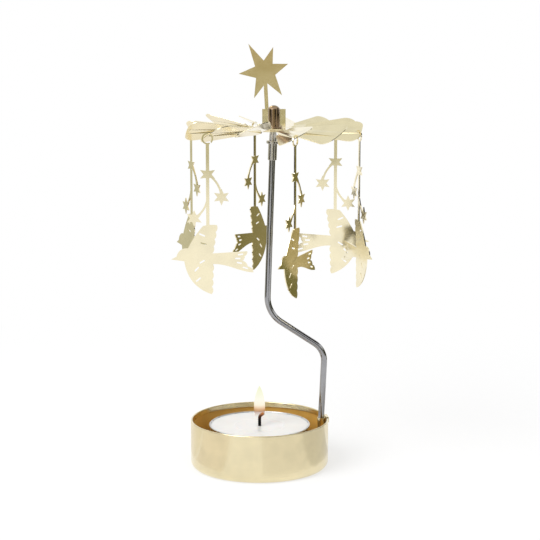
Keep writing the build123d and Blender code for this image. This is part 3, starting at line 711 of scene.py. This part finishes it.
class CAROUSEL_OT_candle_cup(Operator):
    """Drawn gold cup with its rim folded in"""
    bl_idname = "carousel.candle_cup"
    bl_label = "Candle cup"

    def execute(self, context):
        sizes = context.scene.carousel_sizes
        radius = (CUP_HIGH.x - CUP_LOW.x) / 2
        sheet, bend, top = sizes.cup_sheet, sizes.cup_corner, CUP_HIGH.z
        wall, hem = radius - sheet, radius - 2 * sheet
        fold = top - sheet
        hem_foot = top - sizes.hem_height
        cup = lathe("cup", [
            (0, 0), *arc((radius - bend, bend), bend, -90, 0), *arc((wall, fold), sheet, 0, 180, FOLD_STEPS),
            (hem - sizes.hem_spring, hem_foot), (wall, hem_foot),
            *arc((radius - bend, bend), bend - sheet, 0, -90), (0, sheet),
        ], sizes.round_steps)
        finish = metal("lacquered_gold_cup")
        seat(cup, finish, "cup_gold", "stand", "candle_cup")

        # Below the fold, what faces up or towards the axis by more than half is the cup's inside, which takes the
        # deeper gold of painted reflection.
        cup.data.materials.append(metal("dull_gold_inside"))
        for face in cup.data.polygons:
            inward = face.normal.z > 0.5 or face.normal.xy.dot(face.center.xy) < -0.5 * face.center.xy.length
            if inward and face.center.z < hem_foot:
                face.material_index = 1
        seat(smooth_copy("rod_socket"), finish, "cup_gold", "stand", "rod_socket")
        return {"FINISHED"}


class CAROUSEL_OT_mast(Operator):
    """Bent steel rod with the flanged ferrule and the needle on its top"""
    bl_idname = "carousel.mast"
    bl_label = "Mast and pivot"

    def execute(self, context):
        sizes = context.scene.carousel_sizes
        lean = Matrix.Rotation(sizes.mast_lean, 4, "Y")
        on_mast = Matrix.Translation(NEEDLE_TIP) @ lean @ Matrix.Translation((0, 0, -NEEDLE_TIP.z))
        flange_top = fan_plane(sizes) - sizes.flange_drop
        flange_foot = flange_top - sizes.flange_height
        sleeve_foot = flange_foot - sizes.sleeve_length

        radius = sizes.rod_diameter / 2
        ahead = Vector((math.cos(sizes.rod_bearing), math.sin(sizes.rod_bearing)))
        foot = ahead * sizes.rod_reach
        knee = ahead * (sizes.rod_reach + sizes.leg_spread)
        rod = path_object("rod", [
            ((*foot, ROD_LOW.z), 0.0),
            ((*foot, CUP_HIGH.z), sizes.lower_radius),
            ((*knee, sizes.lower_bend), sizes.lower_radius),
            (on_mast @ Vector((0, 0, sizes.upper_bend)), sizes.upper_radius),
            (on_mast @ Vector((0, 0, flange_foot)), 0.0),
        ])
        steel = metal("drawn_steel_rod")
        run_tree(rod, tube_tree(), {
            "Bend Steps": 24, "Lobes": 20, "Outer Radius": radius, "Inner Radius": radius, "Twist Rate": 0.0,
            "Step": 0.5 * MM, "Material": steel,
        })
        seat(shaded(rod), steel, "polished_steel", "stand", "mast_rod")

        edge = sizes.turned_edge
        flange = sizes.flange_diameter / 2
        sleeve = sizes.sleeve_diameter / 2
        bore = radius + sizes.fit_gap
        tail = sizes.tail_diameter / 2
        tail_bore = tail + sizes.fit_gap
        ferrule = lathe("ferrule", [
            (bore, sleeve_foot), *arc((sleeve - edge, sleeve_foot + edge), edge, -90, 0, EDGE_STEPS),
            (sleeve, flange_foot), *arc((flange - edge, flange_foot + edge), edge, -90, 0, EDGE_STEPS),
            *arc((flange - edge, flange_top - edge), edge, 0, 90, EDGE_STEPS),
            (tail_bore, flange_top), (tail_bore, flange_foot), (bore, flange_foot),
        ], sizes.round_steps, on_mast)
        nickel = metal("nickel_plated_pivot")
        seat(ferrule, nickel, "polished_steel", "stand", "pivot_ferrule")

        shank = sizes.needle_diameter / 2
        tail_foot = flange_foot + sizes.fit_gap
        needle = lathe("needle", [
            (0, tail_foot), (tail, tail_foot), (tail, flange_top), (shank, flange_top),
            (shank, NEEDLE_TIP.z - sizes.needle_taper), (sizes.needle_point, NEEDLE_TIP.z), (0, NEEDLE_TIP.z),
        ], sizes.round_steps, on_mast)
        seat(needle, nickel, "polished_steel", "stand", "pivot_needle")
        return {"FINISHED"}


class CAROUSEL_OT_fan(Operator):
    """Twelve pitched blades round a disc, one in two with a hanging hole"""
    bl_idname = "carousel.fan"
    bl_label = "Fan"

    def blade(self, name, sizes, holes):
        """Flat blade with its neck, along X."""
        rim = sizes.fan_diameter / 2
        half = math.pi / (2 * sizes.blade_pairs) - sizes.blade_gap / 2
        side = math.degrees(half)
        neck = sizes.neck_width / 2
        start = neck_start(sizes)
        shoulder = start + sizes.neck_twist + sizes.neck_flat

        # A tip corner's circle touches the rim from inside and the blade's side; a root corner's touches the side
        # and the shoulder.
        corner = sizes.blade_corner
        centre_reach = rim - corner
        bearing = half - math.asin(corner / centre_reach)
        turn = math.degrees(bearing)
        tip_at = (centre_reach * math.cos(bearing), centre_reach * math.sin(bearing))
        root = sizes.shoulder_round
        root_at = (shoulder + root, (shoulder + root) * math.tan(half) - root / math.cos(half))
        upper = [
            *((start + sizes.neck_twist * n / CORNER_STEPS, neck) for n in range(CORNER_STEPS + 1)), (shoulder, neck),
            *arc(root_at, root, 180, 90 + side, SHOULDER_STEPS), *arc(tip_at, corner, 90 + side, turn),
            *arc((0, 0), rim, turn, 0, RIM_STEPS)[1:],
        ]
        lower = [(x, -y) for x, y in reversed(upper[:-1])]
        return cut_sheet(name, [upper + lower, *holes], sizes.fan_sheet, sizes.eased_edge)

    def disc(self, sizes):
        """Flat disc with the hub's hole and a stub for each neck."""
        blades = 2 * sizes.blade_pairs
        radius = sizes.disc_diameter / 2
        half = math.degrees(math.asin(sizes.neck_width / 2 / radius))
        step = 360 / blades
        edge = []
        for number in range(blades):
            bearing = math.radians(number * step)
            ahead = Vector((math.cos(bearing), math.sin(bearing)))
            across = Vector((-ahead.y, ahead.x)) * sizes.neck_width / 2
            stub = ahead * neck_start(sizes)
            edge += [tuple(stub - across), tuple(stub + across)]
            edge += arc((0, 0), radius, number * step + half, (number + 1) * step - half, RIM_STEPS)
        hole = circle((0, 0), sizes.collar_diameter / 2 + sizes.fit_gap)
        return cut_sheet("fan_disc", [edge, hole], sizes.fan_sheet, sizes.eased_edge)

    def execute(self, context):
        sizes = context.scene.carousel_sizes
        finish = metal("plated_gold_sheet")
        hole = circle((sizes.hole_reach, sizes.hole_across), sizes.hang_hole / 2)
        holed = self.blade("holed_blade", sizes, [hole])
        plain = self.blade("plain_blade", sizes, [])
        disc = self.disc(sizes)
        pitches = []
        lifts = []
        for bend, lift in zip(sizes.plain_bend, sizes.plain_lift):
            pitches += [sizes.blade_pitch, sizes.blade_pitch + bend]
            lifts += [0.0, lift]
        fan = marked_points("fan", [(0, 0, 0)] * len(pitches), [], {"pitch": pitches, "lift": lifts})
        start = neck_start(sizes)
        run_tree(fan, fan_tree(), {
            "Holed Blade": holed, "Plain Blade": plain, "Disc": disc, "Blades": len(pitches),
            "Neck Start": start, "Neck End": start + sizes.neck_twist,
            "Place": (*HUB_AXIS, fan_plane(sizes)), "Bearing": sizes.fan_bearing, "Material": finish,
        })
        for flat in (holed, plain, disc):
            bpy.data.objects.remove(flat)
        seat(shaded(fan), finish, "sheet_gold", "rotor", "rotor_fan")
        return {"FINISHED"}


class CAROUSEL_OT_hub_cap(Operator):
    """Slender domed thimble that rests on the needle, crimped through the fan's disc"""
    bl_idname = "carousel.hub_cap"
    bl_label = "Hub cap"

    def execute(self, context):
        sizes = context.scene.carousel_sizes
        wall = sizes.hub_diameter / 2
        bore = sizes.hub_bore / 2
        collar = sizes.collar_diameter / 2
        crimp = sizes.crimp_diameter / 2
        brim = (HUB_HIGH.x - HUB_LOW.x) / 2
        foot, top = HUB_LOW.z, HUB_HIGH.z
        crimp_top = foot + sizes.crimp_height
        brim_foot = fan_plane(sizes) + sizes.fan_sheet / 2 + sizes.star_sheet + 2 * sizes.fit_gap
        brim_top = brim_foot + sizes.brim_height
        edge = sizes.turned_edge

        # The upper edge's circle touches the wall from inside and the dome's circle from inside.
        dome = (wall ** 2 + sizes.hub_dome ** 2) / (2 * sizes.hub_dome)
        dome_at = top - dome
        rise = math.sqrt((dome - sizes.hub_edge) ** 2 - (wall - sizes.hub_edge) ** 2)
        bearing = math.degrees(math.atan2(rise, wall - sizes.hub_edge))
        roof = top - sizes.hub_roof
        drill = roof - bore / math.tan(sizes.drill_angle / 2)
        hub = lathe("hub", [
            (bore, foot), (crimp, foot), (crimp, crimp_top), (collar, crimp_top), (collar, brim_foot),
            *arc((brim - edge, brim_foot + edge), edge, -90, 0, EDGE_STEPS),
            *arc((brim - edge, brim_top - edge), edge, 0, 90, EDGE_STEPS), (wall, brim_top),
            *arc((wall - sizes.hub_edge, dome_at + rise), sizes.hub_edge, 0, bearing, SHOULDER_STEPS),
            *arc((0, dome_at), dome, bearing, 90, DOME_STEPS)[1:-1], (0, top), (0, roof), (bore, drill),
        ], sizes.round_steps, Matrix.Translation((*HUB_AXIS, 0)))
        seat(hub, metal("browned_brass"), "hub_brass", "rotor", "hub_cap")
        return {"FINISHED"}


class CAROUSEL_OT_cut_sheets(Operator):
    """Star on the fan and the six bird hangers, each one cut sheet"""
    bl_idname = "carousel.cut_sheets"
    bl_label = "Star and birds"

    def execute(self, context):
        finish = metal("plated_gold_sheet")
        seat(smooth_copy("star_finial"), finish, "sheet_gold", "rotor", "star_finial")
        for name in HANGERS:
            seat(smooth_copy(name), finish, "hanger_gold", BODY_OF[name], name)
        return {"FINISHED"}


class CAROUSEL_OT_tealight(Operator):
    """Foil cup, wax and sustainer of the candle"""
    bl_idname = "carousel.tealight"
    bl_label = "Tealight"

    def execute(self, context):
        sizes = context.scene.carousel_sizes
        bead, bend = sizes.foil_bead, sizes.foil_corner
        low, lip = FOIL_LOW.z, FOIL_HIGH.z
        radius = (FOIL_HIGH.x - FOIL_LOW.x) / 2 - 2 * bead + sizes.foil / 2
        bead_at = (radius - sizes.foil / 2 + bead, lip - bead)
        foil = lathe("foil_cup", [
            (0, low), *arc((radius - bend, low + bend), bend, -90, 0), *arc(bead_at, bead, -120, 180, DOME_STEPS),
            (radius - sizes.foil, lip - bead), *arc((radius - bend, low + bend), bend - sizes.foil, 0, -90),
            (0, low + sizes.foil),
        ], sizes.round_steps)
        seat(foil, metal("pressed_aluminium_foil"), "tealight_foil", "tealight", "tealight_cup")

        rim = (WAX_HIGH.x - WAX_LOW.x) / 2
        hole = sizes.wick_diameter / 2
        round_low = bend - sizes.foil
        dish = [
            (rim - (rim - hole) * share, WAX_HIGH.z - sizes.wax_dish * math.sin(math.pi / 2 * share) ** 2)
            for share in (n / DISH_STEPS for n in range(DISH_STEPS + 1))
        ]
        wax = lathe("wax", [
            (hole, WAX_LOW.z), *arc((rim - round_low, WAX_LOW.z + round_low), round_low, -90, 0), *dish,
        ], sizes.round_steps)
        seat(wax, cast_paraffin(), "wax", "tealight", "tealight_wax")
        tin = metal("tinned_plate")
        seat(smooth_copy("wick_sustainer"), tin, "sustainer_tin", "tealight", "wick_sustainer")
        return {"FINISHED"}


class CAROUSEL_OT_flame(Operator):
    """Curled wick and the flame on it"""
    bl_idname = "carousel.flame"
    bl_label = "Wick and flame"

    def execute(self, context):
        sizes = context.scene.carousel_sizes
        radius = sizes.wick_diameter / 2
        reach = WICK_HIGH.x - radius * math.cos(sizes.wick_curl)
        tip = WICK_HIGH.z - radius * math.sin(sizes.wick_curl)
        knee = tip - reach / math.tan(sizes.wick_curl)
        wick = path_object("wick", [
            ((0, 0, WICK_LOW.z), 0.0), ((0, 0, knee), sizes.wick_diameter), ((reach, 0, tip), 0.0),
        ])
        char = charred_cotton()
        run_tree(wick, tube_tree(), {
            "Bend Steps": 10, "Lobes": sizes.wick_strands, "Outer Radius": radius,
            "Inner Radius": radius * sizes.wick_groove, "Twist Rate": sizes.wick_lay / MM, "Step": 0.15 * MM,
            "Material": char,
        })
        seat(shaded(wick, STRAND_CREASE), char, "wick", "tealight", "tealight_wick")

        foot = WAX_HIGH.z + sizes.flame_rise
        top = foot + sizes.flame_height
        power = math.log(0.5) / math.log(sizes.flame_belly)
        sides = [
            (sizes.flame_width / 2 * math.sin(math.pi * share ** power) ** sizes.flame_fullness,
             foot + sizes.flame_height * share)
            for share in (n / FLAME_STEPS for n in range(1, FLAME_STEPS))
        ]
        flame = lathe("flame", [(0, foot), *sides, (0, top)], FLAME_SIDES, crease=NO_CREASE)
        seat(flame, candle_flame(foot, top), "wick", "tealight")
        return {"FINISHED"}


class CAROUSEL_OT_stage(Operator):
    """Pale floor, white surroundings, cards, lamp and camera"""
    bl_idname = "carousel.stage"
    bl_label = "Stage"

    def seen_rays(self, add):
        """One for a ray that shows the background, seen straight, mirrored or through glass."""
        rays = add("ShaderNodeLightPath")
        mirrored = add("ShaderNodeMath", {
            0: rays["Is Camera Ray"], 1: rays["Is Glossy Ray"],
        }, operation="MAXIMUM")["Value"]
        return add("ShaderNodeMath", {0: mirrored, 1: rays["Is Transmission Ray"]}, operation="MAXIMUM")["Value"]

    def world(self, scene, stage):
        """White background that lights less than it shows."""
        world = bpy.data.worlds.new("white_room")
        world.use_nodes = True
        world.node_tree.nodes.clear()
        add = partial(node, world.node_tree)
        even, white = (
            add("ShaderNodeBackground", {"Color": rgba(stage.white), "Strength": strength})["Background"]
            for strength in (stage.room_light, 1.0)
        )
        mixed = add("ShaderNodeMixShader", {0: self.seen_rays(add), 1: even, 2: white})["Shader"]
        add("ShaderNodeOutputWorld", {"Surface": mixed})
        scene.world = world

    def floor(self, stage):
        # Near the carousel the floor is paper that takes its shadow; further out it fades into the white background.
        material, add = empty_material("matt_white_floor")
        place = add("ShaderNodeTexCoord")["Object"]
        reach = add("ShaderNodeVectorMath", {0: place}, operation="LENGTH")["Value"]
        fade = add("ShaderNodeMapRange", {
            "Value": reach, "From Min": stage.fade_start, "From Max": stage.fade_end,
            "To Min": stage.fade_share, "To Max": 1.0,
        }, interpolation_type="SMOOTHSTEP")["Result"]
        share = add("ShaderNodeMath", {0: self.seen_rays(add), 1: fade}, operation="MULTIPLY")["Value"]
        paper = add("ShaderNodeBsdfDiffuse", {"Color": rgba(stage.white), "Roughness": 0.5})["BSDF"]
        white = add("ShaderNodeEmission", {"Color": rgba(stage.white)})["Emission"]
        mixed = add("ShaderNodeMixShader", {0: share, 1: paper, 2: white})["Shader"]
        add("ShaderNodeOutputMaterial", {"Surface": mixed})
        work = bmesh.new()
        bmesh.ops.create_circle(work, cap_ends=True, segments=96, radius=stage.floor_radius)
        bmesh.ops.translate(work, verts=work.verts, vec=(0, 0, -stage.floor_drop))
        mesh = mesh_of("floor", work)
        mesh.materials.append(material)
        placed("floor", mesh)

    def card(self, stage, name, foot, head, bearings, lower, upper=None):
        """Card of the table round part of the carousel, shaded from its foot to its head."""
        lines = [
            [(x, y, height * MM) for x, y in arc((0, 0), reach * MM, *bearings, CARD_STEPS)]
            for reach, height in (foot, head)
        ]
        count = len(lines[0])
        mesh = bpy.data.meshes.new(name)
        mesh.from_pydata(lines[0] + lines[1], [], [(n, n + 1, n + 1 + count, n + count) for n in range(count - 1)])
        material, add = empty_material(name)
        share = height_share(add, foot[1] * MM, head[1] * MM)
        tint = add("ShaderNodeValToRGB", {"Fac": share}, stops=[
            (stop, tuple(getattr(stage, shade))) for stop, shade in zip(CARD_SHADES, (lower, upper or lower))
        ])["Color"]
        paint = add("ShaderNodeEmission", {"Color": tint})["Emission"]
        add("ShaderNodeOutputMaterial", {"Surface": paint})
        mesh.materials.append(material)
        made = placed(name, mesh)
        made.visible_camera = made.visible_diffuse = made.visible_shadow = made.visible_transmission = False

    def lamp(self, scene, stage):
        """Soft lamp at the upper left, in front."""
        data = bpy.data.lights.new("soft_lamp", "AREA")
        data.shape = "DISK"
        data.size = stage.lamp_size
        data.energy = stage.key_light
        lamp = bpy.data.objects.new("soft_lamp", data)
        lamp.location = stage.lamp_place
        lamp.rotation_euler = (Vector(stage.lamp_aim) - lamp.location).to_track_quat("-Z", "Y").to_euler()
        scene.collection.objects.link(lamp)

    def camera(self, scene, stage):
        """Camera that sees the carousel as the photo does."""
        data = bpy.data.cameras.new("camera")
        data.lens = stage.camera_lens
        data.sensor_width = 36.0
        data.clip_start = 10 * MM
        camera = bpy.data.objects.new("camera", data)
        camera.location = stage.camera_place
        camera.rotation_euler = (math.pi / 2 - stage.camera_pitch, 0, 0)
        scene.collection.objects.link(camera)
        scene.camera = camera

    def execute(self, context):
        scene = context.scene
        stage = scene.carousel_stage
        self.world(scene, stage)
        self.floor(stage)
        for name, row in CARDS.items():
            self.card(stage, name, *row)
        self.lamp(scene, stage)
        self.camera(scene, stage)
        scene.view_settings.view_transform = "Standard"
        return {"FINISHED"}


PIECES = (
    CAROUSEL_OT_candle_cup, CAROUSEL_OT_mast, CAROUSEL_OT_fan, CAROUSEL_OT_hub_cap, CAROUSEL_OT_cut_sheets,
    CAROUSEL_OT_tealight, CAROUSEL_OT_flame, CAROUSEL_OT_stage,
)


class CAROUSEL_PT_panel(Panel):
    """Lists what the carousel is made of"""
    bl_idname = "CAROUSEL_PT_panel"
    bl_label = "Candle carousel"
    bl_space_type = "VIEW_3D"
    bl_region_type = "UI"
    bl_category = "Carousel"

    def draw(self, context):
        for piece in PIECES:
            self.layout.operator(piece.bl_idname)
        for group in ("carousel_sizes", "carousel_finishes", "carousel_stage"):
            box = self.layout.box()
            settings = getattr(context.scene, group)
            for name in settings.bl_rna.properties.keys():
                if name not in ("rna_type", "name"):
                    box.prop(settings, name)


CLASSES = (CarouselSizes, CarouselFinishes, CarouselStage, *PIECES, CAROUSEL_PT_panel)


def register():
    for each in CLASSES:
        bpy.utils.register_class(each)
    bpy.types.Scene.carousel_sizes = PointerProperty(type=CarouselSizes)
    bpy.types.Scene.carousel_finishes = PointerProperty(type=CarouselFinishes)
    bpy.types.Scene.carousel_stage = PointerProperty(type=CarouselStage)


def unregister():
    del bpy.types.Scene.carousel_stage
    del bpy.types.Scene.carousel_finishes
    del bpy.types.Scene.carousel_sizes
    for each in reversed(CLASSES):
        bpy.utils.unregister_class(each)


def main():
    register()
    bpy.ops.carousel.candle_cup()
    bpy.ops.carousel.mast()
    bpy.ops.carousel.fan()
    bpy.ops.carousel.hub_cap()
    bpy.ops.carousel.cut_sheets()
    bpy.ops.carousel.tealight()
    bpy.ops.carousel.flame()
    bpy.ops.carousel.stage()


if __name__ == "__main__":
    main()
